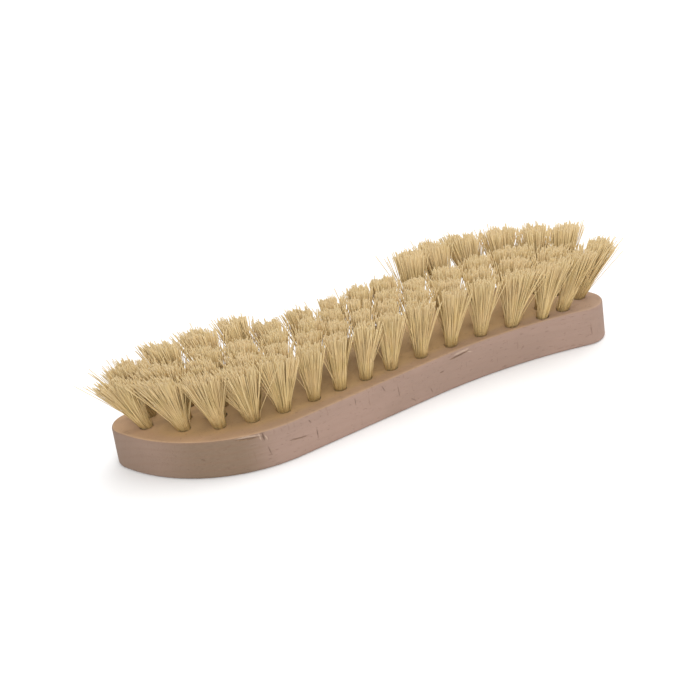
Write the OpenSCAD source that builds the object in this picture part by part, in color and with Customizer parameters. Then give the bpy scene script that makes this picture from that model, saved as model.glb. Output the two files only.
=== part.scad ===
// Wooden scrub brush with an S-shaped block, lying on its flat back with the bristles up.
// The origin is at the centre of the flat back. X runs along the brush and Z points up.
// The block has angled blind holes. Each hole holds one tuft: a bundle of fibres that is
// folded over a wire staple, driven into the hole's floor and fanned out above the wood.

/* [Block] */
// Overall length of the wooden block
block_length = 220; // [205:1:240]
// Thickness of the wooden block
block_thickness = 17.5; // [16:0.5:22]
// Radius of the full rim round each lobe
bulge_radius = 61; // [58:1:66]
// Radius of the hollow rim opposite each lobe
hollow_radius = 220; // [190:5:260]
// Radius of the tight corner at each end
end_radius = 9.5; // [8.5:0.5:11]
// Angle between the straight flanks and the length of the brush
flank_angle = 15.5; // [14:0.5:17]
// Angle at which the rim leaves a tight corner and enters the full rim
shoulder_angle = 61; // [58:1:64]
// Angle at which the hollow rim runs into the tight corner
toe_angle = 4; // [2:0.5:6]
// Width of the eased edge round the top and the back
edge_ease = 1.2; // [0.6:0.1:2]

/* [Drilling] */
// Diameter of each tuft hole
hole_d = 5.4; // [4.8:0.1:5.8]
// Depth of each tuft hole along its axis
hole_depth = 9.5; // [8:0.5:10.5]
// Distance between tufts in one column
row_pitch = 8.9; // [8.7:0.1:9.4]
// Distance from the left end of the block to the first column
left_margin = 13.4; // [12.8:0.1:14]
// Distance from the right end of the block to the last column
right_margin = 8.8; // [8.6:0.1:9.6]
// Share of the lobes' length that the left lobe's columns take
left_share = 0.487; // [0.48:0.001:0.5]
// Distance along the brush between columns at the waist
waist_pitch = 12.2; // [12:0.1:13]
// Distance along the brush between the last columns at the right end
toe_pitch = 10.3; // [10:0.1:11]
// Most tufts in one column
rows_max = 4; // [3:1:4]
// Angle between a column of tufts and a square line across the brush
column_skew = 17.5; // [14:0.5:20]
// Distance from the near rim to the axes of the near row at mid length
near_margin = 8.5; // [8.3:0.1:9.6]
// Distance from the far rim to the axes of the far row in the lobes
far_margin = 7; // [6.6:0.1:8]
// Angle by which the drilled pattern is turned flatter than the block
pattern_turn = 3; // [2:0.25:4]
// Rise of the near row where it rounds the right end
toe_lift = 10; // [8:0.5:11]

/* [Tufts] */
// Height of the trimmed bristles above the wood
bristle_height = 25.5; // [22:0.5:28]
// Tilt of the first column towards the left end
left_tilt = 28; // [24:1:29]
// Tilt of the last column towards the right end
right_tilt = 23; // [18:1:25]
// Tilt of the far row in the lobes towards the left end, on top of its column's
swing_tilt = 8; // [4:1:9]
// Tilt of the far row in the lobes, across the brush
lobe_tilt = 23; // [18:1:25]
// Tilt of the far row at the waist and in a short column
waist_tilt = 10; // [6:1:12]
// Tilt of the near row towards the near rim
near_tilt = 6; // [3:1:8]
// Tilt that all tufts share towards the right end
bias_tilt = 3; // [0:0.5:4]
// Strands in the ring of each tuft, round one strand in the middle
ring_strands = 7; // [6:1:7]
// Half width of the fan along the brush, to the middle of the outer strands
fan_long = 5.1; // [3.5:0.1:5.1]
// Half width of the fan across the brush, to the middle of the outer strands
fan_cross = 3.3; // [2.8:0.1:3.4]
// Radius of a strand at the wood
strand_root = 0.7; // [0.5:0.05:0.75]
// Radius of a strand at its trimmed end
strand_tip = 1.4; // [1:0.05:1.5]

/* [Staples] */
// Diameter of the staple wire
wire_d = 1; // [0.8:0.1:1.1]
// Distance between the legs of a staple
staple_span = 3.4; // [3:0.1:3.6]
// Depth to which the legs enter the wood under a hole
leg_depth = 4; // [3:0.5:4.5]

/* [Hidden] */

// Gap between the wire and the fibres folded round it
wire_gap = 0.05;
// Height of the tight bundle above the wood, before the strands part
collar = 1.4;
// Depth to which each strand runs back into the bundle
strand_seat = 1;
// Clearance between the roots of the strands and the rim of the hole
strand_margin = 0.15;
// Width of a leg's blunt point as a share of the wire
leg_point = 0.3;
// Overlap that lets a cutter clear the face it opens
clear = 2;
// Depth in row pitches under which a column's two tufts are too near for a full tilt
short_column = 1.5;
// Exponent of the tilt's growth towards the ends
tilt_growth = 2.5;
// Columns left of the waist, at the waist and in the right lobe
left_columns = 5;
waist_columns = 3;
lobe_columns = 5;
toe_columns = 2;
column_count = left_columns + waist_columns + lobe_columns + toe_columns + 1;
waist_middle = left_columns + waist_columns / 2 + 1;
steps_per_quarter = 12;

// Outline of the block, as one half that is turned half round for the other.
// A left-hand arc of radius r leads from one heading to another by this displacement.
function arc_move(r, from, to) = r * [sin(to) - sin(from), cos(from) - cos(to)];
function arc_steps(from, to) = max(3, ceil(abs(to - from) / 90 * steps_per_quarter));
function arc_points(start, r, from, to) =
    let (n = arc_steps(from, to))
    [for (k = [1 : n]) start + arc_move(r, from, from + (to - from) * k / n)];

corner_start = 180 - toe_angle;
corner_end = 360 - shoulder_angle;
flank_heading = 360 + flank_angle;
toe_heading = 360 - toe_angle;

function corner_move(r) = arc_move(r, corner_start, corner_end);
function bulge_move(r) = arc_move(r, corner_end, flank_heading);
function hollow_move(r) = arc_move(-r, flank_heading, toe_heading);

// The straight flank takes up the length that the arcs leave.
arcs_x = (corner_move(end_radius) + bulge_move(bulge_radius) + hollow_move(hollow_radius)).x;
corner_reach = end_radius * (1 + sin(corner_start));
flank_length = (block_length - 2 * corner_reach - arcs_x) / cos(flank_angle);
flank_move = flank_length * [cos(flank_angle), sin(flank_angle)];

function half_outline(inset) =
    let (re = end_radius - inset,
         rb = bulge_radius - inset,
         rh = hollow_radius + inset,
         start = -(corner_move(re) + bulge_move(rb) + flank_move + hollow_move(rh)) / 2,
         corner = arc_points(start, re, corner_start, corner_end),
         bulge = arc_points(corner[len(corner) - 1], rb, corner_end, flank_heading),
         flank_end = bulge[len(bulge) - 1] + flank_move)
    concat(corner, bulge, [flank_end], arc_points(flank_end, -rh, flank_heading, toe_heading));

function outline(inset = 0) =
    let (half = half_outline(inset)) concat(half, [for (p = half) -p]);

// Height of the near and far rims over a place along the brush.
near_rim = [for (p = half_outline(0)) if (p.y < half_outline(0)[0].y) p];
function near_rim_y(x) = lookup(x, near_rim);
function far_rim_y(x) = -near_rim_y(-x);

// Drilling plan: the place of each column along the brush, then the tufts in it.
// The two lobes share what the margins, the waist and the right end leave.
waist_run = waist_columns * waist_pitch;
toe_run = toe_columns * toe_pitch;
first_column_x = left_margin - block_length / 2;
last_column_x = block_length / 2 - right_margin;
lobes_run = last_column_x - first_column_x - waist_run - toe_run;
left_pitch = lobes_run * left_share / left_columns;
right_pitch = lobes_run * (1 - left_share) / lobe_columns;
waist_start_x = first_column_x + left_columns * left_pitch;
waist_end_x = waist_start_x + waist_run;
toe_start_x = last_column_x - toe_run;

function column_x(i) =
    i <= left_columns ? first_column_x + i * left_pitch
    : i <= left_columns + waist_columns ? waist_start_x + (i - left_columns) * waist_pitch
    : i <= left_columns + waist_columns + lobe_columns
        ? waist_end_x + (i - left_columns - waist_columns) * right_pitch
    : toe_start_x + (i - left_columns - waist_columns - lobe_columns) * toe_pitch;

function toe_rise(x) = toe_lift * pow(max(0, x - toe_start_x) / toe_run, 2);
function near_row_y(x) = near_rim_y(x) + near_margin - x * tan(pattern_turn) + toe_rise(x);

column_way = [sin(column_skew), cos(column_skew)];
function near_point(i) = [column_x(i), near_row_y(column_x(i))];
function at_waist(i) = i >= left_columns - 1 && i <= left_columns + waist_columns;

// Distance along a column from the near row to the line that the far row keeps to.
function column_depth(i) =
    let (p = near_point(i),
         rough = (far_rim_y(p.x) - far_margin - p.y) / column_way.y,
         there = far_rim_y(p.x + rough * column_way.x))
    (there - far_margin - p.y) / column_way.y;

function row_count(i) =
    at_waist(i) ? rows_max : max(1, min(rows_max, floor(column_depth(i) / row_pitch) + 1));
function row_distance(i, j) =
    j > 0 && j == row_count(i) - 1 && !at_waist(i) ? column_depth(i) : j * row_pitch;
function tuft_place(i, j) = near_point(i) + row_distance(i, j) * column_way;

// Lean of a tuft: how far its axis moves along and across the brush for each unit of height.
function end_lean(x) =
    tan(bias_tilt)
    + (x < 0 ? -tan(left_tilt) * pow(x / first_column_x, tilt_growth)
             : tan(right_tilt) * pow(x / last_column_x, tilt_growth));
function in_lobe(i) =
    abs(i - waist_middle) > waist_columns / 2 && i < column_count - toe_columns;
function swing(i, j) = j > 0 && j == row_count(i) - 1 && in_lobe(i) ? tan(swing_tilt) : 0;
function far_tilt(i) =
    at_waist(i) || column_depth(i) < short_column * row_pitch ? waist_tilt : lobe_tilt;
function cross_lean(i, j) =
    let (n = row_count(i), share = n > 1 ? j / (n - 1) : 0)
    j > 0 && j == n - 1 ? tan(far_tilt(i)) : -tan(near_tilt) + share * tan(near_tilt + waist_tilt);
function tuft_lean(i, j) =
    [end_lean(tuft_place(i, j).x) - swing(i, j), cross_lean(i, j)];

// Places the children with their Z axis along a tuft and their origin at the hole's mouth.
module at_tuft(i, j) {
    place = tuft_place(i, j);
    lean = tuft_lean(i, j);
    slope = atan(norm(lean));
    bearing = atan2(lean.y, lean.x);
    translate([place.x, place.y, block_thickness])
        rotate([0, slope, bearing])
            rotate(90 - column_skew - bearing)
                children();
}

module each_tuft() {
    for (i = [0 : column_count - 1], j = [0 : row_count(i) - 1])
        at_tuft(i, j) children();
}

// Skin of triangles over rings of points that have the same number of points each.
// The roof is a list of faces over the points of one ring, and the floor is its mirror.
function side_faces(n, layers) =
    [for (k = [0 : layers - 1], m = [0 : n - 1], half = [0, 1])
        let (a = k * n + m, b = k * n + (m + 1) % n)
        half == 0 ? [a, a + n, b + n] : [a, b + n, b]];
function turned(face) = [for (k = [len(face) - 1 : -1 : 0]) face[k]];

module skin(rings, roof) {
    n = len(rings[0]);
    layers = len(rings) - 1;
    polyhedron(points = [for (ring = rings) each ring],
               faces = concat(side_faces(n, layers),
                              [for (face = roof) turned(face)],
                              [for (face = roof) [for (k = face) k + layers * n]]));
}

// Triangles of the block's flat faces, zipped along the near and far rims from the left tip.
tip = search(min([for (p = outline()) p.x]), [for (p = outline()) p.x])[0];
rim_count = len(outline());
near_chain = [for (k = [1 : rim_count / 2 - 1]) (tip + k) % rim_count];
far_chain = [for (k = [1 : rim_count / 2 - 1]) (tip - k + rim_count) % rim_count];
chain_end = rim_count / 2 - 2;

function zipped(a = 0, b = 0) =
    a == chain_end && b == chain_end ? []
    : let (rim = outline(),
           near_next = a < chain_end
               && (b == chain_end || rim[near_chain[a + 1]].x < rim[far_chain[b + 1]].x))
      near_next ? concat([[near_chain[a], far_chain[b], near_chain[a + 1]]], zipped(a + 1, b))
      : concat([[near_chain[a], far_chain[b], far_chain[b + 1]]], zipped(a, b + 1));

block_roof = concat([[tip, far_chain[0], near_chain[0]]],
                    zipped(),
                    [[near_chain[chain_end], far_chain[chain_end], tip + rim_count / 2]]);

// Ring of the block's outline at one height, drawn in by an inset.
function block_ring(height, inset) = [for (p = outline(inset)) [p.x, p.y, height]];

module block_body() {
    part_ease = edge_ease / 3;
    skin([block_ring(0, edge_ease),
          block_ring(part_ease, part_ease),
          block_ring(edge_ease, 0),
          block_ring(block_thickness - edge_ease, 0),
          block_ring(block_thickness - part_ease, part_ease),
          block_ring(block_thickness, edge_ease)],
         block_roof);
}

module tuft_hole() {
    translate([0, 0, -hole_depth])
        cylinder(h = hole_depth + clear, d = hole_d, $fn = 48);
}

// Wire staple: a bar across the hole's floor and two legs driven into the wood.
module staple(swell = 0) {
    d = wire_d + 2 * swell;
    bar_z = wire_d - hole_depth;
    leg_tip_z = -hole_depth - leg_depth;
    for (side = [-1, 1])
        translate([side * staple_span / 2, 0, 0]) {
            translate([0, 0, leg_tip_z + wire_d])
                cylinder(h = bar_z - leg_tip_z - wire_d, d = d, $fn = 16);
            translate([0, 0, leg_tip_z])
                cylinder(h = wire_d, d1 = leg_point * d, d2 = d, $fn = 16);
            translate([0, 0, bar_z])
                sphere(d = d, $fn = 16);
        }
    translate([-staple_span / 2, 0, bar_z])
        rotate([0, 90, 0])
            cylinder(h = staple_span, d = d, $fn = 16);
}

// Two pointed holes that the legs of a staple press into the floor of a tuft hole.
module leg_holes() {
    for (side = [-1, 1])
        translate([side * staple_span / 2, 0, -hole_depth - leg_depth])
            rotate_extrude($fn = 16)
                polygon([[0, 0], [leg_point * wire_d / 2, 0], [wire_d / 2, wire_d],
                         [wire_d / 2, leg_depth + clear], [0, leg_depth + clear]]);
}

module wooden_block() {
    color("#c9a184")
        difference() {
            block_body();
            each_tuft() tuft_hole();
            each_tuft() leg_holes();
        }
}

// One strand as a three-sided skin that follows the fan's curve from the bundle to the trim.
function fan_point(i, j, t, along, across) =
    let (place = tuft_place(i, j),
         lean = tuft_lean(i, j),
         rise = collar - strand_seat + t * (bristle_height - collar + strand_seat),
         open = pow(t, 1.2),
         base = hole_d / 2 - strand_root - strand_margin,
         long = along * (base + (fan_long - base) * open),
         cross = across * (base + (fan_cross - base) * open))
    [place.x + lean.x * rise + long * column_way.y + cross * column_way.x,
     place.y + lean.y * rise - long * column_way.x + cross * column_way.y,
     block_thickness + rise];

function strand_ring(centre, r, turn) =
    [for (side = [0 : 2]) centre + r * [cos(turn + 120 * side), sin(turn + 120 * side), 0]];

module strand(i, j, along, across, turn) {
    skin([for (t = [0, 0.45, 1])
              strand_ring(fan_point(i, j, t, along, across),
                          strand_root + (strand_tip - strand_root) * t, turn)],
         [[2, 1, 0]]);
}

module tuft(i, j) {
    difference() {
        at_tuft(i, j)
            translate([0, 0, -hole_depth])
                cylinder(h = hole_depth + collar, d = hole_d, $fn = 12);
        at_tuft(i, j) staple(wire_gap);
    }
    strand(i, j, 0, 0, 40 * j);
    for (k = [0 : ring_strands - 1])
        let (bearing = 360 * k / ring_strands + 20 * i)
            strand(i, j, cos(bearing), sin(bearing), bearing);
}

module tuft_column(i) {
    color("#d9c48c")
        for (j = [0 : row_count(i) - 1])
            tuft(i, j);
}

module staple_column(i) {
    color("silver")
        for (j = [0 : row_count(i) - 1])
            at_tuft(i, j) staple();
}

wooden_block();
tuft_column(0);  // tufts_01
tuft_column(1);  // tufts_02
tuft_column(2);  // tufts_03
tuft_column(3);  // tufts_04
tuft_column(4);  // tufts_05
tuft_column(5);  // tufts_06
tuft_column(6);  // tufts_07
tuft_column(7);  // tufts_08
tuft_column(8);  // tufts_09
tuft_column(9);  // tufts_10
tuft_column(10);  // tufts_11
tuft_column(11);  // tufts_12
tuft_column(12);  // tufts_13
tuft_column(13);  // tufts_14
tuft_column(14);  // tufts_15
tuft_column(15);  // tufts_16
staple_column(0);  // staples_01
staple_column(1);  // staples_02
staple_column(2);  // staples_03
staple_column(3);  // staples_04
staple_column(4);  // staples_05
staple_column(5);  // staples_06
staple_column(6);  // staples_07
staple_column(7);  // staples_08
staple_column(8);  // staples_09
staple_column(9);  // staples_10
staple_column(10);  // staples_11
staple_column(11);  // staples_12
staple_column(12);  // staples_13
staple_column(13);  // staples_14
staple_column(14);  // staples_15
staple_column(15);  // staples_16
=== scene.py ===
"""Looks of a wooden scrub brush: a beech block with drilled holes and tufts of plant fibre."""
import math
import random

import bpy
from mathutils import Matrix, Vector


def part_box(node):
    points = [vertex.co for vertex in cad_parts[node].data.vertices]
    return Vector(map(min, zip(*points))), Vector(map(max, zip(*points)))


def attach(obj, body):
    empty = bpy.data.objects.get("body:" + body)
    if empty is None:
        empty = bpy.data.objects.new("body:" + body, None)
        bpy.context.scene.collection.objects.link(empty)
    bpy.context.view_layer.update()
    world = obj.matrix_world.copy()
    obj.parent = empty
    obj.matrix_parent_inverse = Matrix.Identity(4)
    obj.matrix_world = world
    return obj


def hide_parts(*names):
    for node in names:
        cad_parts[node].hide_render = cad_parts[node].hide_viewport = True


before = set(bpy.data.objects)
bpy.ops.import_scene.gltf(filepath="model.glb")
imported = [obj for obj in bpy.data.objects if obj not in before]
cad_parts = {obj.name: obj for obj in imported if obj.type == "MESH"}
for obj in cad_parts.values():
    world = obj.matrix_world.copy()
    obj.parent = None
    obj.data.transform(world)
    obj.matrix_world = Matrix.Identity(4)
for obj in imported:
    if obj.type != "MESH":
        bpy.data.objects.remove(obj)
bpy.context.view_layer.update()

MM = 0.001
SEED = 7

block_low, block_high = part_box("wooden_block")
WOOD_TOP = block_high.z
TUFT_NODES = sorted(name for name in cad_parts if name.startswith("tufts_"))
STAPLE_NODES = sorted(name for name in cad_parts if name.startswith("staples_"))

# Camera, fitted to the rims of the block and to the tufts, for an image of 700 by 700 pixels.
IMAGE_PIXELS = 700
FOCAL_PIXELS = 2000
SENSOR_MM = 36
CAMERA_AZIMUTH = -13.704
CAMERA_ELEVATION = 27.642
CAMERA_ROLL = -8.493
ORIGIN_RIGHT, ORIGIN_DOWN, ORIGIN_AHEAD = 7.748 * MM, 19.469 * MM, 856.997 * MM

# Pale floor, just under the brush, in metres.
FLOOR_SIZE = 8
FLOOR_GAP = 0.05 * MM
FLOOR_COLOUR = (0.93, 0.93, 0.93, 1)

# Light: name, place, size and power of each lamp, in metres and watts.
SKY_STRENGTH = 0.76
LAMPS = (
    ("key", (0.5, 0.35, 1.5), 1.6, 17),
    ("front", (-0.2, -1.6, 0.9), 1.4, 15),
)

# Outline of the block: radii in metres and headings in degrees.
BULGE_RADIUS = 61 * MM
HOLLOW_RADIUS = 220 * MM
END_RADIUS = 9.5 * MM
FLANK_ANGLE = 15.5
SHOULDER_ANGLE = 61
TOE_ANGLE = 4
STEPS_PER_QUARTER = 40

# Eased edges of the block. Faces that meet at less than the angle, in degrees, are smooth.
EDGE_EASE = 1.2 * MM
EDGE_SEGMENTS = 4
WOOD_SMOOTH_ANGLE = 35

# Drilled holes. The drill's cut starts above the wood.
HOLE_RADIUS = 2.7 * MM
HOLE_DEPTH = 9.5 * MM
HOLE_SIDES = 28
DRILL_ABOVE = 3 * MM

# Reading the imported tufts: how near doubles are, and how near the top a tip's corners are.
MERGE_WITHIN = 0.001 * MM
TIPS_WITHIN = 0.05 * MM

# Plug of folded fibres in each hole: rings from its foot up, measured from the hole's mouth.
PLUG_SIDES = 12
PLUG_RISES = (-8 * MM, -0.8 * MM, 2.5 * MM)
PLUG_RADII = (2.2 * MM, 2.2 * MM, 1.2 * MM)
PLUG_TONE = 0.3

# Fibres: radius at the root and at the tip, the shares of the length that have a ring, how wide
# and how deep the roots stand in the hole, and how far a fibre bends.
FIBRES_PER_TUFT = 440
FIBRE_RADIUS = (0.18 * MM, 0.215 * MM)
FIBRE_SIDES = 3
RING_SHARES = (0.0, 0.3, 0.65, 1.0)
FIBRE_SMOOTH_ANGLE = 130
ROOT_SPREAD = 2.25 * MM
ROOT_DEPTH = 3 * MM
BEND = 0.45 * MM

# Fan of a tuft: half its width as a share of the way to the next column, for most tufts and for
# the far row, its limit, how it varies and drifts, and its half width the other way. The
# columns stand askew by an angle in degrees.
COLUMN_SKEW = 17.5
FAN_SHARE = 0.45
FAN_SHARE_FAR = 0.53
FAN_LIMIT = 7.6 * MM
FAN_VARIES = 0.07
FAN_DRIFT = 0.5 * MM
FAN_CROSS = 3.6 * MM
FAN_CURVE = 1.1
# Far tufts of the first columns press to the right: drift and half width of the fan.
FAR_LEFT_FANS = ((8 * MM, 9.5 * MM), (5 * MM, 7.5 * MM))
# Near tufts of the first columns spread wide: drift and half width of the fan.
NEAR_LEFT_FANS = ((1.8 * MM, 6.6 * MM),) + 4 * ((-1.2 * MM, 8.4 * MM),)

# Most fibres stay in the fan's core, and the loose ones stand out round it. The waist is
# tidier than the lobes: values in the waist and in the lobes, and where they change.
FAN_CORE = (0.80, 0.88)
LOOSE_SHARE = (0.04, 0.12)
LOOSE_REACH = 1.35
LOOSE_FROM = 0.3
WAIST_FROM, WAIST_TO = 30 * MM, 60 * MM

# Trimmed tips: scatter and its limits, longer fibres, loss, and droop at the brush's ends.
TRIM_JITTER = 0.6 * MM
TRIM_LIMITS = (-1.5 * MM, 1.0 * MM)
LONG_SHARE = 0.14
LONG_REACH = 1.8 * MM
LONG_LEAST = 0.3
TRIM_LOSS = 0.7 * MM
END_DROOP = 3.5 * MM
DROOP_CURVE = 1.5

# Wisps that the fibres of a tuft gather to, and strays along and across the brush.
WISPS_PER_TUFT = 9
WISP_PULL = 0.3
WISP_RISE = 0.35 * MM
STRAY_SIDE = 8 * MM
STRAY_DEPTH = 4 * MM

# How unruly the fibres are, at the left lobe's end and from the waist on: share of strays,
# scatter of the tips, and drift of each wisp.
UNRULY_FROM = -100 * MM
UNRULY_TO = -30 * MM
STRAY_SHARE = (0.20, 0.05)
TIP_JITTER = (0.7 * MM, 0.3 * MM)
WISP_DRIFT = (2.2 * MM, 0.45 * MM)

# Tone of a fibre, from 0 to 1: the middle, how far a tuft's own may be off it, and scatter.
MIDDLE_TONE = 0.5
TUFT_TONE = 0.1
TONE_SCATTER = 0.18


def blend(pair, share):
    return pair[0] + (pair[1] - pair[0]) * share


def clamp(value, low=0, high=1):
    return min(high, max(low, value))


def work_on(thing):
    """Makes one object the only selected and active one."""
    bpy.ops.object.select_all(action="DESELECT")
    thing.select_set(True)
    bpy.context.view_layer.objects.active = thing


def apply_modifier(thing, kind, **settings):
    """Adds a modifier with its settings and applies it."""
    modifier = thing.modifiers.new(kind.lower(), kind)
    for name, value in settings.items():
        setattr(modifier, name, value)
    work_on(thing)
    bpy.ops.object.modifier_apply(modifier=modifier.name)


def join_objects(things):
    work_on(things[0])
    for thing in things:
        thing.select_set(True)
    bpy.ops.object.join()
    return bpy.context.object


def delete_object(thing):
    mesh = thing.data
    bpy.data.objects.remove(thing)
    bpy.data.meshes.remove(mesh)


# Camera, floor and light


def make_camera():
    azimuth, elevation, roll = map(
        math.radians, (CAMERA_AZIMUTH, CAMERA_ELEVATION, CAMERA_ROLL))
    back = Vector((math.sin(azimuth) * math.cos(elevation),
                   -math.cos(azimuth) * math.cos(elevation),
                   math.sin(elevation)))
    level_right = Vector((math.cos(azimuth), math.sin(azimuth), 0))
    level_up = back.cross(level_right)
    right = math.cos(roll) * level_right + math.sin(roll) * level_up
    up = math.cos(roll) * level_up - math.sin(roll) * level_right
    place = back * ORIGIN_AHEAD - right * ORIGIN_RIGHT + up * ORIGIN_DOWN
    camera = bpy.data.objects.new("camera", bpy.data.cameras.new("camera"))
    bpy.context.scene.collection.objects.link(camera)
    camera.data.sensor_width = SENSOR_MM
    camera.data.lens = SENSOR_MM * FOCAL_PIXELS / IMAGE_PIXELS
    turn = Matrix((right, up, back)).transposed().to_4x4()
    camera.matrix_world = Matrix.Translation(place) @ turn
    bpy.context.scene.camera = camera


def make_floor():
    bpy.ops.mesh.primitive_plane_add(size=FLOOR_SIZE, location=(0, 0, -FLOOR_GAP))
    floor = bpy.context.object
    floor.name = "floor"
    material, shader, _ = new_material("pale_floor", 0.1)
    shader.inputs["Base Color"].default_value = FLOOR_COLOUR
    shader.inputs["Roughness"].default_value = 0.9
    floor.data.materials.append(material)


def make_light():
    world = bpy.data.worlds.new("studio")
    world.use_nodes = True
    sky = world.node_tree.nodes["Background"]
    sky.inputs["Color"].default_value = (1, 1, 1, 1)
    sky.inputs["Strength"].default_value = SKY_STRENGTH
    bpy.context.scene.world = world
    bpy.context.scene.view_settings.view_transform = "Standard"
    for name, place, size, power in LAMPS:
        lamp = bpy.data.lights.new(name, "AREA")
        lamp.size = size
        lamp.energy = power
        thing = bpy.data.objects.new(name, lamp)
        bpy.context.scene.collection.objects.link(thing)
        thing.location = place
        thing.rotation_euler = (-Vector(place)).to_track_quat("-Z", "Y").to_euler()


# Outline of the block


def arc_points(start, radius, heading_from, heading_to):
    """Points of an arc that turns left for a positive radius and right for a negative one."""
    steps = math.ceil(abs(heading_to - heading_from) / 90 * STEPS_PER_QUARTER)
    first = math.radians(heading_from)
    points = []
    for step in range(1, steps + 1):
        heading = math.radians(heading_from + (heading_to - heading_from) * step / steps)
        points.append(start + radius * Vector((math.sin(heading) - math.sin(first),
                                               math.cos(first) - math.cos(heading))))
    return points


def block_outline():
    """The S outline: one half of arcs and a flank, and the same half turned half round."""
    corner_start, corner_end = 180 - TOE_ANGLE, 360 - SHOULDER_ANGLE
    flank_heading, toe_heading = 360 + FLANK_ANGLE, 360 - TOE_ANGLE
    here = Vector((0, 0))
    corner = arc_points(here, END_RADIUS, corner_start, corner_end)
    bulge = arc_points(corner[-1], BULGE_RADIUS, corner_end, flank_heading)
    hollow_move = arc_points(here, -HOLLOW_RADIUS, flank_heading, toe_heading)[-1]
    end_reach = END_RADIUS * (1 + math.sin(math.radians(corner_start)))
    arcs_reach = bulge[-1].x + hollow_move.x
    flank = math.radians(FLANK_ANGLE)
    length = block_high.x - block_low.x
    flank_length = (length - 2 * end_reach - arcs_reach) / math.cos(flank)
    flank_end = bulge[-1] + flank_length * Vector((math.cos(flank), math.sin(flank)))
    hollow = arc_points(flank_end, -HOLLOW_RADIUS, flank_heading, toe_heading)
    centre = hollow[-1] / 2
    half = [point - centre for point in corner + bulge + [flank_end] + hollow]
    return half + [-point for point in half]


def wall_place(rim, x):
    """Point of the near rim at a place along the brush, and the heading of the rim there.

    The outline runs to the right along the near rim and back along the far one."""
    for first, second in zip(rim, rim[1:] + rim[:1]):
        if first.x <= x < second.x:
            share = (x - first.x) / (second.x - first.x)
            way = second - first
            return first + share * way, math.atan2(way.y, way.x)
    raise ValueError(f"the near rim has no point at {x}")


# Materials


class Painter:
    """Short ways to place and join the nodes of one material or group."""

    def __init__(self, tree):
        self.tree = tree

    def node(self, kind, **settings):
        made = self.tree.nodes.new(kind)
        for name, value in settings.items():
            setattr(made, name, value)
        return made

    def give(self, socket, value):
        """Joins an output to a socket, or sets the socket to a plain value."""
        if isinstance(value, bpy.types.NodeSocket):
            self.tree.links.new(value, socket)
        else:
            socket.default_value = value

    def math(self, operation, first, second=0.0):
        made = self.node("ShaderNodeMath", operation=operation)
        for socket, value in zip(made.inputs, (first, second)):
            self.give(socket, value)
        return made.outputs[0]

    def rising(self, base, slope, value):
        """A base plus a slope times a value."""
        return self.math("ADD", base, self.math("MULTIPLY", value, slope))

    def mix(self, share, first, second):
        made = self.node("ShaderNodeMix", data_type="RGBA")
        self.give(made.inputs["Factor"], share)
        colours = [socket for socket in made.inputs if socket.type == "RGBA"]
        self.give(colours[0], first)
        self.give(colours[1], second)
        return [socket for socket in made.outputs if socket.type == "RGBA"][0]

    def stain(self, colour, mask, strength, stain_colour):
        """A colour with a stain over it where the mask says, as strong as given."""
        return self.mix(self.math("MULTIPLY", mask, strength), colour, stain_colour)

    def band(self, value, low, high):
        """0 below low, 1 above high and smooth between them."""
        made = self.node("ShaderNodeMapRange", interpolation_type="SMOOTHSTEP")
        self.give(made.inputs["Value"], value)
        made.inputs["From Min"].default_value = low
        made.inputs["From Max"].default_value = high
        return made.outputs["Result"]

    def band_below(self, value, low, high):
        """1 below low, 0 above high and smooth between them."""
        return self.math("SUBTRACT", 1.0, self.band(value, low, high))

    def place(self):
        """Place on the object of the point that is shaded."""
        return self.node("ShaderNodeTexCoord").outputs["Object"]

    def attribute(self, name):
        return self.node("ShaderNodeAttribute", attribute_name=name).outputs["Fac"]

    def parts(self, vector):
        """The outputs X, Y and Z of a vector."""
        made = self.node("ShaderNodeSeparateXYZ")
        self.give(made.inputs[0], vector)
        return made.outputs

    def length(self, vector):
        made = self.node("ShaderNodeVectorMath", operation="LENGTH")
        self.give(made.inputs[0], vector)
        return made.outputs["Value"]

    def scaled(self, vector, scale, shift=(0, 0, 0)):
        made = self.node("ShaderNodeMapping")
        self.give(made.inputs["Vector"], vector)
        made.inputs["Location"].default_value = shift
        made.inputs["Scale"].default_value = scale
        return made.outputs["Vector"]

    def noise(self, vector, scale, detail, roughness=0.5):
        made = self.node("ShaderNodeTexNoise")
        self.give(made.inputs["Vector"], vector)
        self.give(made.inputs["Scale"], scale)
        made.inputs["Detail"].default_value = detail
        made.inputs["Roughness"].default_value = roughness
        return made.outputs["Fac"]

    def streaks(self, vector, per_metre, detail, roughness=0.5):
        """Noise with its own count of patches per metre along X, Y and Z."""
        return self.noise(self.scaled(vector, per_metre), 1.0, detail, roughness)

    def bump(self, height, distance, strength):
        made = self.node("ShaderNodeBump")
        made.inputs["Strength"].default_value = strength
        made.inputs["Distance"].default_value = distance
        self.give(made.inputs["Height"], height)
        return made.outputs["Normal"]

    def mask(self, group, **inputs):
        """Places a shared group with its inputs and returns its mask."""
        placed = self.node("ShaderNodeGroup", node_tree=group)
        for name, value in inputs.items():
            self.give(placed.inputs[name], value)
        return placed.outputs["Mask"]


def new_material(name, specular):
    material = bpy.data.materials.new(name)
    material.use_nodes = True
    shader = material.node_tree.nodes["Principled BSDF"]
    shader.inputs["Specular IOR Level"].default_value = specular
    return material, shader, Painter(material.node_tree)


def new_mask_group(name, **inputs):
    """An empty node group with named inputs, its painter, its inputs and its mask to fill."""
    group = bpy.data.node_groups.new(name, "ShaderNodeTree")
    for label, kind in inputs.items():
        group.interface.new_socket(label, in_out="INPUT", socket_type=kind)
    group.interface.new_socket("Mask", in_out="OUTPUT", socket_type="NodeSocketFloat")
    painter = Painter(group)
    entry = painter.node("NodeGroupInput")
    exit_node = painter.node("NodeGroupOutput")
    return group, painter, entry.outputs, exit_node.inputs["Mask"]


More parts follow.
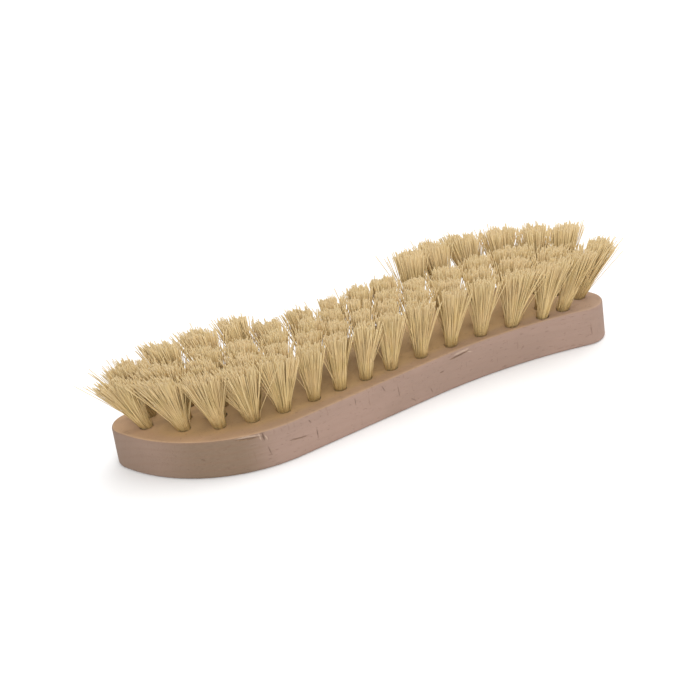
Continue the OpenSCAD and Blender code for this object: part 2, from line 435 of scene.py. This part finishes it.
def make_mottle_group():
    """Uneven colouring that all the finishes share: a soft mask with patches of one size."""
    group, painter, given, mask = new_mask_group(
        "mottle", Vector="NodeSocketVector", Scale="NodeSocketFloat")
    noise = painter.noise(given["Vector"], given["Scale"], detail=4)
    painter.give(mask, painter.band(noise, 0.36, 0.64))
    return group


def make_mark_group():
    """A soft spot with an uneven edge, for a vector that is 1 long at the edge."""
    group, painter, given, mask = new_mask_group(
        "mark", Vector="NodeSocketVector", Place="NodeSocketVector")
    uneven = painter.noise(given["Place"], 900, detail=2)
    edge = painter.math("ADD", painter.length(given["Vector"]), uneven)
    painter.give(mask, painter.band_below(edge, 0.95, 1.65))
    return group


# Marks on the near wall: place along the brush, height, length, turn from the rim's way,
# half height and half depth, in millimetres and degrees.
NICKS = (
    (-61.2, 16.0, 12.6, -4, 0.45, 0.55),
    (-54.8, 15.4, 3.8, -82, 0.40, 0.45),
    (38.5, 14.9, 11.3, 5, 0.40, 0.50),
    (-40.0, 9.0, 10.4, -8, 0.22, 0.30),
    (-31.5, 7.6, 4.8, -88, 0.22, 0.25),
    (29.5, 10.4, 2.1, 7, 0.30, 0.30),
    (8.0, 10.4, 6.5, -86, 0.14, 0.16),
    (-12.5, 14.1, 4.2, -90, 0.16, 0.18),
    (14.5, 3.4, 4.2, -41, 0.16, 0.18),
    (23.5, 4.1, 3.4, -72, 0.16, 0.18),
    (-79.8, 9.1, 2.1, -30, 0.30, 0.25),
    (-53.0, 7.9, 4.4, -77, 0.20, 0.20),
    (100.8, 7.2, 4.6, -84, 0.14, 0.16),
    (1.2, 14.2, 3.8, -66, 0.16, 0.18),
    (-34.0, 14.2, 2.3, -63, 0.22, 0.22),
    (68.5, 7.9, 2.7, 41, 0.14, 0.15),
)
# Pale torn wood under the near rim, as in NICKS but with no depth.
PALE_MARKS = (
    (-61.0, 16.6, 10.5, -3, 0.55),
    (-56.2, 15.6, 3.6, -78, 0.45),
    (-53.6, 14.6, 3.2, -70, 0.35),
    (39.5, 16.0, 9.0, 4, 0.65),
    (43.0, 15.0, 5.0, -25, 0.40),
)
# A mark's colour reaches this far into the wood. A nick's painted shade also goes on for a
# margin, in millimetres, above and below its cut. The cut's corners are scattered by shares of
# its size.
MARK_REACH_IN = 2 * MM
NICK_MARGIN = 0.2
NICK_SCATTER = (0.8, 1.2)

# Beech: two tones of the wall and of the top face, their colours elsewhere, and what marks them.
# The wall's tones hold painted shade, and the top face's colours on the left and among the tufts
# hold painted light.
# The wall's tones are darker than the top face's as painted shade, since the wall takes less
# light; their pinker hue is the beech's own.
SHADED_WALL_TONES = ((0.325, 0.218, 0.172, 1), (0.285, 0.193, 0.150, 1))
WALL_ON_LEFT = (0.185, 0.125, 0.080, 1)
TOP_TONES = ((0.40, 0.258, 0.15, 1), (0.365, 0.235, 0.14, 1))
# Painted light: the top face is paler on the left, to lift the shadow that the tufts cast there.
TOP_LIT_ON_LEFT = (0.48, 0.305, 0.175, 1)
TOP_ON_RIGHT = (0.40, 0.268, 0.185, 1)
# Painted light: a brighter golden tone that lifts the shade among the tufts and stands in for
# light bounced off the fibres, with some golden fibre dust.
TOP_LIT_AMONG_TUFTS = (0.54, 0.35, 0.145, 1)
RING_COLOUR = (0.20, 0.115, 0.07, 1)
GRAIN_COLOUR = (0.52, 0.37, 0.29, 1)
FLECK_COLOUR = (0.18, 0.10, 0.065, 1)
RAY_COLOUR = (0.20, 0.12, 0.08, 1)
TORN_COLOUR = (0.50, 0.37, 0.28, 1)
# Painted shade in the nicks of the near wall.
NICK_SHADE_COLOUR = (0.15, 0.095, 0.065, 1)
# Where the colour changes along the brush: the left part, its end, and the right end.
LEFT_PART = (-66 * MM, -48 * MM)
LEFT_END = (-100 * MM, -80 * MM)
RIGHT_END = (70 * MM, 95 * MM)
# Growth rings: the scale that draws them out along the brush, the shift that puts the pith at
# the origin, their pitch and their wander.
RING_SCALE = (0.22, 1, 1)
PITH_SHIFT = (12 * MM, 30 * MM, 55 * MM)
RING_PITCH = 3.4 * MM
RING_WANDER = 6 * MM
# Patches per metre along X, Y and Z, and patches of uneven tone, with half as many along X.
WANDER_PER_METRE = (9, 30, 30)
GRAIN_PER_METRE = (40, 1500, 1500)
FLECKS_PER_METRE = (330, 2400, 1500)
RAYS_PER_METRE = (900, 700, 160)
PATCH_SCALE = (0.5, 1, 1)
WOOD_PATCHES = 45
# Upper face among the tufts, where painted light lifts the shade: where it ends along the brush,
# and how far in from a rim it is.
# The shader holds a rim as a curve with a few steps and with heights that are shares of a scale.
TUFTS_END = (88 * MM, 100 * MM)
TUFTS_IN = (3 * MM, 9 * MM)
RIM_SPAN = 98 * MM
RIM_SCALE = 100 * MM
RIM_STEPS = 12


def mark_mask(painter, group, place, rim, x, height, length, turn, half_height):
    """Mask of one mark on the near wall, with its sizes in millimetres."""
    point, heading = wall_place(rim, x * MM)
    placed = painter.node("ShaderNodeMapping", vector_type="TEXTURE")
    painter.give(placed.inputs["Vector"], place)
    placed.inputs["Location"].default_value = (point.x, point.y, height * MM)
    placed.inputs["Rotation"].default_value = (0, math.radians(-turn), heading)
    placed.inputs["Scale"].default_value = (length / 2 * MM, MARK_REACH_IN, half_height * MM)
    return painter.mask(group, Vector=placed.outputs["Vector"], Place=place)


def way_in(painter, parts, rim, side):
    """Distance in from a long rim: side is 1 for the near one and -1 for the far one."""
    curve = painter.node("ShaderNodeFloatCurve")
    lengthwise = painter.math("MULTIPLY", parts["X"], side)
    share = painter.math("DIVIDE", painter.math("ADD", lengthwise, RIM_SPAN), 2 * RIM_SPAN)
    painter.give(curve.inputs["Value"], share)
    line = curve.mapping.curves[0]
    heights = [0.5 + wall_place(rim, (2 * step / RIM_STEPS - 1) * RIM_SPAN)[0].y / RIM_SCALE
               for step in range(RIM_STEPS + 1)]
    line.points[0].location = (0, heights[0])
    line.points[-1].location = (1, heights[-1])
    for step in range(1, RIM_STEPS):
        line.points.new(step / RIM_STEPS, heights[step])
    curve.mapping.update()
    rim_y = painter.math("MULTIPLY", painter.math("SUBTRACT", curve.outputs[0], 0.5), RIM_SCALE)
    return painter.math("SUBTRACT", painter.math("MULTIPLY", parts["Y"], side), rim_y)


def lit_among_tufts(painter, parts, rim):
    """Mask of the upper face where the tufts stand, which gets painted light: some way in from
    every rim.
    """
    inside = painter.band_below(painter.math("ABSOLUTE", parts["X"]), *TUFTS_END)
    for side in (1, -1):
        deep = painter.band(way_in(painter, parts, rim, side), *TUFTS_IN)
        inside = painter.math("MULTIPLY", inside, deep)
    return inside


def growth_rings(painter, place):
    """Mask of the late wood in faint rings round a far pith."""
    wander = painter.streaks(place, WANDER_PER_METRE, detail=2)
    radius = painter.length(painter.scaled(place, RING_SCALE, PITH_SHIFT))
    radius = painter.rising(radius, RING_WANDER, wander)
    wave = painter.math("SINE", painter.math("MULTIPLY", radius, 2 * math.pi / RING_PITCH))
    return painter.band(wave, 0.1, 1.0)


def stain_marks(painter, colour, place, rim):
    """The wood's colour with the torn places of the near wall over it, and painted shade in and
    round its nicks.
    """
    spot = make_mark_group()
    for x, height, length, turn, half_height in PALE_MARKS:
        mask = mark_mask(painter, spot, place, rim, x, height, length, turn, half_height)
        colour = painter.stain(colour, mask, 0.55, TORN_COLOUR)
    # Each nick gets painted shade, darker for a deeper nick.
    for x, height, length, turn, half_height, half_depth in NICKS:
        mask = mark_mask(painter, spot, place, rim, x, height, length, turn,
                         half_height + NICK_MARGIN)
        colour = painter.stain(colour, mask, min(0.55, 0.12 + half_depth), NICK_SHADE_COLOUR)
    return colour


def make_beech(mottle, rim):
    """Raw beech: faint growth rings round a far pith, grain, short flecks and torn places, with
    painted shade on the walls and in the nicks and painted light on the top face.
    """
    material, shader, painter = new_material("beech", 0.25)
    place = painter.place()
    parts = painter.parts(place)
    rings = growth_rings(painter, place)
    grain = painter.streaks(place, GRAIN_PER_METRE, detail=3, roughness=0.6)
    flecks = painter.band(painter.streaks(place, FLECKS_PER_METRE, detail=1), 0.66, 0.74)
    rays = painter.band(painter.streaks(place, RAYS_PER_METRE, detail=1), 0.68, 0.75)
    patches = painter.mask(
        mottle, Vector=painter.scaled(place, PATCH_SCALE), Scale=WOOD_PATCHES)
    on_left = painter.band_below(parts["X"], *LEFT_PART)
    off_end = painter.rising(0.45, 0.55, painter.band(parts["X"], *LEFT_END))
    browner = painter.math("MULTIPLY", on_left, off_end)
    normal = painter.node("ShaderNodeNewGeometry").outputs["True Normal"]
    on_top = painter.band(painter.parts(normal)["Z"], 0.5, 0.9)

    wall = painter.mix(patches, *SHADED_WALL_TONES)
    wall = painter.mix(browner, wall, WALL_ON_LEFT)
    top = painter.mix(patches, *TOP_TONES)
    top = painter.mix(painter.band(parts["X"], *RIGHT_END), top, TOP_ON_RIGHT)
    # Painted light: the top face is paler on the left, where the tufts cast their shadow.
    top = painter.mix(on_left, top, TOP_LIT_ON_LEFT)
    # Painted light: a brighter golden tone among the tufts lifts the shade there.
    top = painter.stain(top, lit_among_tufts(painter, parts, rim), 0.7, TOP_LIT_AMONG_TUFTS)
    # Walls and top face take their colours by the face's normal, so the walls' darker tones are
    # painted shade.
    colour = painter.mix(on_top, wall, top)
    colour = painter.stain(colour, rings, painter.rising(0.05, 0.22, browner), RING_COLOUR)
    colour = painter.stain(colour, grain, 0.16, GRAIN_COLOUR)
    colour = painter.stain(colour, flecks, 0.3, FLECK_COLOUR)
    colour = painter.stain(colour, rays, 0.25, RAY_COLOUR)
    colour = stain_marks(painter, colour, place, rim)
    painter.give(shader.inputs["Base Color"], colour)
    painter.give(shader.inputs["Roughness"], painter.rising(0.58, 0.2, grain))
    height = painter.math("SUBTRACT", grain, painter.math("MULTIPLY", flecks, 1.5))
    painter.give(shader.inputs["Normal"], painter.bump(height, distance=0.15 * MM, strength=0.6))
    return material


# Plant fibre: dark and pale tones, warmer patches, the root, browner and darkened by painted
# shade from the hole, the upper part and the cut tip.
FIBRE_TONES = ((0.59, 0.42, 0.17, 1), (0.75, 0.58, 0.30, 1))
WARM_FIBRE = (0.74, 0.53, 0.29, 1)
ROOT_TONE_AND_SHADE = (0.56, 0.375, 0.135, 1)
UPPER_COLOUR = (0.72, 0.57, 0.34, 1)
TIP_COLOUR = (0.68, 0.56, 0.38, 1)
FIBRE_PATCHES = 130
STREAKS_PER_METRE = (2500, 2500, 300)


def make_fibre_material(mottle):
    """Straw-coloured plant fibre: each fibre has its own tone, and its cut tip is paler."""
    material, shader, painter = new_material("plant_fibre", 0.25)
    along = painter.attribute("along")
    tone = painter.attribute("tone")
    place = painter.place()
    patches = painter.mask(mottle, Vector=place, Scale=FIBRE_PATCHES)
    colour = painter.mix(tone, *FIBRE_TONES)
    colour = painter.stain(colour, patches, 0.35, WARM_FIBRE)
    # The roots are browner and darker, partly from their own colour and partly from painted shade
    # from the hole and the tuft round them.
    colour = painter.stain(colour, painter.band_below(along, 0.0, 0.45), 0.5, ROOT_TONE_AND_SHADE)
    colour = painter.stain(colour, painter.band(along, 0.55, 1.0), 0.3, UPPER_COLOUR)
    colour = painter.stain(colour, painter.band(along, 0.97, 1.0), 0.35, TIP_COLOUR)
    painter.give(shader.inputs["Base Color"], colour)
    painter.give(shader.inputs["Roughness"], painter.rising(0.45, 0.2, tone))
    streaks = painter.streaks(place, STREAKS_PER_METRE, detail=2)
    painter.give(shader.inputs["Normal"], painter.bump(streaks, distance=0.04 * MM, strength=0.4))
    return material


# Staples: bright and dull tones of the wire.
WIRE_TONES = ((0.62, 0.62, 0.60, 1), (0.50, 0.49, 0.47, 1))
WIRE_PATCHES = 900


def make_wire(mottle):
    """Drawn steel wire of the staples."""
    material, shader, painter = new_material("staple_wire", 0.5)
    patches = painter.mask(mottle, Vector=painter.place(), Scale=WIRE_PATCHES)
    painter.give(shader.inputs["Base Color"], painter.mix(patches, *WIRE_TONES))
    painter.give(shader.inputs["Roughness"], painter.rising(0.3, 0.15, patches))
    shader.inputs["Metallic"].default_value = 1.0
    return material


# Tufts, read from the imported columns


def tufts_of(node):
    """Mouth and lean of each tuft in a packed column, from the near one to the far one.

    Each tuft is one loose part. Its trimmed tips and the foot of its plug are both centred on
    the tuft's axis. Lean is how far the axis moves along X and Y for each unit of height."""
    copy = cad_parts[node].copy()
    copy.data = copy.data.copy()
    bpy.context.scene.collection.objects.link(copy)
    work_on(copy)
    bpy.ops.object.mode_set(mode="EDIT")
    bpy.ops.mesh.select_all(action="SELECT")
    bpy.ops.mesh.remove_doubles(threshold=MERGE_WITHIN)
    bpy.ops.mesh.separate(type="LOOSE")
    bpy.ops.object.mode_set(mode="OBJECT")
    found = []
    for part in list(bpy.context.selected_objects):
        places = [vertex.co.copy() for vertex in part.data.vertices]
        top = max(place.z for place in places)
        tips = [place for place in places if place.z > top - TIPS_WITHIN]
        feet = [place for place in places if place.z < WOOD_TOP - HOLE_DEPTH / 2]
        tip = sum(tips, Vector()) / len(tips)
        foot = sum(feet, Vector()) / len(feet)
        lean = (tip - foot) / (tip.z - foot.z)
        found.append({"mouth": tip - lean * (tip.z - WOOD_TOP),
                      "lean": lean,
                      "height": top - WOOD_TOP})
        delete_object(part)
    return sorted(found, key=lambda tuft: tuft["mouth"].y)


# Drilled block


def make_bores(tufts):
    """The drill's cuts: a cylinder along each tuft's axis."""
    drills = []
    for tuft in tufts:
        way = tuft["lean"].normalized()
        middle = tuft["mouth"] + way * (DRILL_ABOVE - HOLE_DEPTH) / 2
        bpy.ops.mesh.primitive_cylinder_add(
            vertices=HOLE_SIDES, radius=HOLE_RADIUS, depth=HOLE_DEPTH + DRILL_ABOVE,
            location=middle, rotation=way.to_track_quat("Z", "Y").to_euler())
        bpy.ops.object.transform_apply()
        drills.append(bpy.context.object)
    return drills


def make_nicks(rim, dice):
    """Shallow cutters, one for each mark in NICKS, as separate objects."""
    cutters = []
    for x, height, length, turn, half_height, half_depth in NICKS:
        point, heading = wall_place(rim, x * MM)
        bpy.ops.mesh.primitive_ico_sphere_add(subdivisions=2, radius=1)
        cutter = bpy.context.object
        place = (Matrix.Translation((point.x, point.y, height * MM))
                 @ Matrix.Rotation(heading, 4, "Z")
                 @ Matrix.Rotation(math.radians(-turn), 4, "Y")
                 @ Matrix.Diagonal((length / 2 * MM, half_depth * MM, half_height * MM, 1)))
        for vertex in cutter.data.vertices:
            rough = Vector([dice.uniform(*NICK_SCATTER) for _ in range(3)])
            vertex.co = place @ (vertex.co * rough)
        cutters.append(cutter)
    return cutters


def make_block(rim, tufts, material):
    """The block: its outline drawn up to the top, eased, then drilled and nicked."""
    bpy.ops.object.select_all(action="DESELECT")
    bpy.ops.mesh.primitive_circle_add(vertices=len(rim), radius=1, fill_type="NGON")
    block = bpy.context.object
    block.name = "beech_block"
    for vertex, point in zip(block.data.vertices, rim):
        vertex.co = (point.x, point.y, 0)
    bpy.ops.object.mode_set(mode="EDIT")
    bpy.ops.mesh.select_all(action="SELECT")
    bpy.ops.mesh.extrude_region_move(TRANSFORM_OT_translate={"value": (0, 0, WOOD_TOP)})
    bpy.ops.mesh.select_all(action="SELECT")
    bpy.ops.mesh.normals_make_consistent(inside=False)
    bpy.ops.mesh.select_all(action="DESELECT")
    bpy.ops.mesh.select_mode(type="EDGE")
    bpy.ops.object.mode_set(mode="OBJECT")
    corners = block.data.vertices
    for edge in block.data.edges:
        first, second = (corners[index].co.z for index in edge.vertices)
        edge.select = abs(first - second) < EDGE_EASE
    bpy.ops.object.mode_set(mode="EDIT")
    bpy.ops.mesh.bevel(
        offset=EDGE_EASE, segments=EDGE_SEGMENTS, affect="EDGES", clamp_overlap=False)
    bpy.ops.mesh.select_mode(type="VERT")
    bpy.ops.object.mode_set(mode="OBJECT")
    cuts = join_objects(make_bores(tufts) + make_nicks(rim, random.Random(SEED)))
    apply_modifier(block, "BOOLEAN", operation="DIFFERENCE", solver="EXACT", object=cuts)
    delete_object(cuts)
    work_on(block)
    bpy.ops.object.shade_smooth_by_angle(angle=math.radians(WOOD_SMOOTH_ANGLE))
    apply_modifier(block, "WEIGHTED_NORMAL", mode="FACE_AREA", keep_sharp=True)
    block.data.materials.clear()
    block.data.materials.append(material)
    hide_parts("wooden_block")
    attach(block, "root")


# Fibre tufts


def tip_of(tuft):
    return tuft["mouth"] + tuft["lean"] * tuft["height"]


def set_spacing(columns):
    """Gives each tuft the distance from its tip to the nearest tips of the columns beside it."""
    for index, tufts in enumerate(columns):
        beside = [columns[other] for other in (index - 1, index + 1)
                  if 0 <= other < len(columns)]
        for tuft in tufts:
            gaps = [min((tip_of(tuft) - tip_of(other)).length for other in column)
                    for column in beside]
            tuft["spacing"] = sum(gaps) / len(gaps)


def set_fans(columns):
    """Gives each tuft the drift and half width of its fan, and how it is disturbed."""
    for index, tufts in enumerate(columns):
        for tuft in tufts:
            share = FAN_SHARE_FAR if tuft is tufts[-1] else FAN_SHARE
            reach = min(FAN_LIMIT, tuft["spacing"] * share)
            drift = 0
            if tuft is tufts[-1] and index < len(FAR_LEFT_FANS):
                drift, reach = FAR_LEFT_FANS[index]
            elif tuft is tufts[0] and index < len(NEAR_LEFT_FANS):
                drift, reach = NEAR_LEFT_FANS[index]
            outward = {0: -1, len(columns) - 1: 1}.get(index, 0)
            order = (tuft["mouth"].x - UNRULY_FROM) / (UNRULY_TO - UNRULY_FROM)
            lobe = (abs(tuft["mouth"].x) - WAIST_FROM) / (WAIST_TO - WAIST_FROM)
            tuft["fan"] = {"reach": reach, "drift": drift, "outward": outward,
                           "order": clamp(order), "lobe": clamp(lobe)}


def random_in_disc(dice):
    reach = math.sqrt(dice.random())
    bearing = dice.uniform(0, 2 * math.pi)
    return reach * math.cos(bearing), reach * math.sin(bearing)


def make_wisps(drift, dice):
    """Places in a tuft's disc that its fibres gather to, each with its own drift."""
    wisps = []
    for _ in range(WISPS_PER_TUFT):
        u, v = random_in_disc(dice)
        wisps.append({"u": u, "v": v, "side": dice.gauss(0, drift),
                      "depth": dice.gauss(0, drift / 2), "rise": dice.gauss(0, WISP_RISE)})
    return wisps


def tip_beside_axis(u, v, wisp, fan, dice):
    """How far a fibre's tip is off its tuft's axis, sideways in the fan and across it."""
    spread = blend(FAN_CORE, fan["lobe"])
    if dice.random() < blend(LOOSE_SHARE, fan["lobe"]):
        spread = dice.uniform(1, LOOSE_REACH) / max(LOOSE_FROM, math.hypot(u, v))
    side = fan["drift"] + wisp["side"]
    side += blend((u, wisp["u"]), WISP_PULL) * spread * fan["reach"]
    depth = wisp["depth"] + blend((v, wisp["v"]), WISP_PULL) * spread * FAN_CROSS
    jitter = blend(TIP_JITTER, fan["order"])
    side += dice.gauss(0, jitter)
    depth += dice.gauss(0, jitter)
    if dice.random() < blend(STRAY_SHARE, fan["order"]):
        side += dice.triangular(-1, 1) * STRAY_SIDE
        depth += dice.triangular(-1, 1) * STRAY_DEPTH
    return side, depth


def tip_rise(u, height, wisp, fan, dice):
    """How high above the wood a fibre is trimmed."""
    rise = height + clamp(dice.gauss(0, TRIM_JITTER), *TRIM_LIMITS)
    if dice.random() < LONG_SHARE:
        rise += dice.uniform(LONG_LEAST, 1) * LONG_REACH
    rise += wisp["rise"] - TRIM_LOSS
    return rise - END_DROOP * max(0, u * fan["outward"]) ** DROOP_CURVE


def fibre_path(tuft, fan, dice):
    """Points of one fibre, from inside the hole to its trimmed tip."""
    skew = math.radians(COLUMN_SKEW)
    across = Vector((math.sin(skew), math.cos(skew), 0))
    along = Vector((math.cos(skew), -math.sin(skew), 0))
    u, v = random_in_disc(dice)
    wisp = min(fan["wisps"], key=lambda other: (other["u"] - u) ** 2 + (other["v"] - v) ** 2)
    tip_side, tip_depth = tip_beside_axis(u, v, wisp, fan, dice)
    bend_way = dice.uniform(0, 2 * math.pi)
    bend = dice.gauss(0, BEND)
    rise_to = tip_rise(u, tuft["height"], wisp, fan, dice)
    points = []
    for share in RING_SHARES:
        rise = -ROOT_DEPTH + share * (rise_to + ROOT_DEPTH)
        opened = max(0, rise / rise_to) ** FAN_CURVE
        side = u * ROOT_SPREAD * (1 - opened) + tip_side * opened
        depth = v * ROOT_SPREAD * (1 - opened) + tip_depth * opened
        bow = bend * math.sin(math.pi * share)
        points.append(tuft["mouth"] + tuft["lean"] * rise
                      + along * (side + bow * math.cos(bend_way))
                      + across * (depth + bow * math.sin(bend_way)))
    return points


def add_tube(centres, radii, sides, turn, corners, faces):
    """Adds a closed tube with a level ring round each centre to lists of corners and faces."""
    first = len(corners)
    last = first + (len(centres) - 1) * sides
    for centre, radius in zip(centres, radii):
        for side in range(sides):
            bearing = turn + 2 * math.pi * side / sides
            corners.append((centre.x + radius * math.cos(bearing),
                            centre.y + radius * math.sin(bearing),
                            centre.z))
    for ring in range(first, last, sides):
        for side in range(sides):
            low = ring + side
            low_next = ring + (side + 1) % sides
            faces.append((low, low_next, low_next + sides, low + sides))
    faces.append(tuple(reversed(range(first, first + sides))))
    faces.append(tuple(range(last, last + sides)))


def make_tufts(node, tufts, dice, material):
    """One column of fibre tufts, in place of its packed column."""
    radii = [blend(FIBRE_RADIUS, share) for share in RING_SHARES]
    plug_corners = len(PLUG_RISES) * PLUG_SIDES
    corners, faces, tones, shares = [], [], [], []
    for tuft in tufts:
        fan = dict(tuft["fan"])
        fan["reach"] *= dice.gauss(1, FAN_VARIES)
        fan["drift"] += dice.gauss(0, FAN_DRIFT)
        plug = [tuft["mouth"] + tuft["lean"] * rise for rise in PLUG_RISES]
        add_tube(plug, PLUG_RADII, PLUG_SIDES, 0, corners, faces)
        tones += [PLUG_TONE] * plug_corners
        shares += [0.0] * plug_corners
        fan["wisps"] = make_wisps(blend(WISP_DRIFT, fan["order"]), dice)
        tuft_tone = MIDDLE_TONE + dice.uniform(-TUFT_TONE, TUFT_TONE)
        for _ in range(FIBRES_PER_TUFT):
            path = fibre_path(tuft, fan, dice)
            add_tube(path, radii, FIBRE_SIDES, dice.uniform(0, 2), corners, faces)
            tone = clamp(dice.gauss(tuft_tone, TONE_SCATTER))
            for share in RING_SHARES:
                tones += [tone] * FIBRE_SIDES
                shares += [share] * FIBRE_SIDES
    mesh = bpy.data.meshes.new(node.replace("tufts", "fibres"))
    mesh.from_pydata(corners, [], faces)
    for name, values in (("tone", tones), ("along", shares)):
        mesh.attributes.new(name, "FLOAT", "POINT").data.foreach_set("value", values)
    column = bpy.data.objects.new(mesh.name, mesh)
    bpy.context.scene.collection.objects.link(column)
    mesh.materials.append(material)
    work_on(column)
    bpy.ops.object.shade_smooth_by_angle(angle=math.radians(FIBRE_SMOOTH_ANGLE))
    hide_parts(node)
    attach(column, "root")


make_camera()
make_floor()
make_light()
mottle_group = make_mottle_group()
columns = {node: tufts_of(node) for node in TUFT_NODES}
rim = block_outline()
make_block(rim, [tuft for tufts in columns.values() for tuft in tufts],
           make_beech(mottle_group, rim))
fibre_material = make_fibre_material(mottle_group)
dice = random.Random(SEED)
set_spacing(list(columns.values()))
set_fans(list(columns.values()))
for node, tufts in columns.items():
    make_tufts(node, tufts, dice, fibre_material)
wire = make_wire(mottle_group)
for node in STAPLE_NODES:
    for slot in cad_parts[node].material_slots:
        slot.material = wire
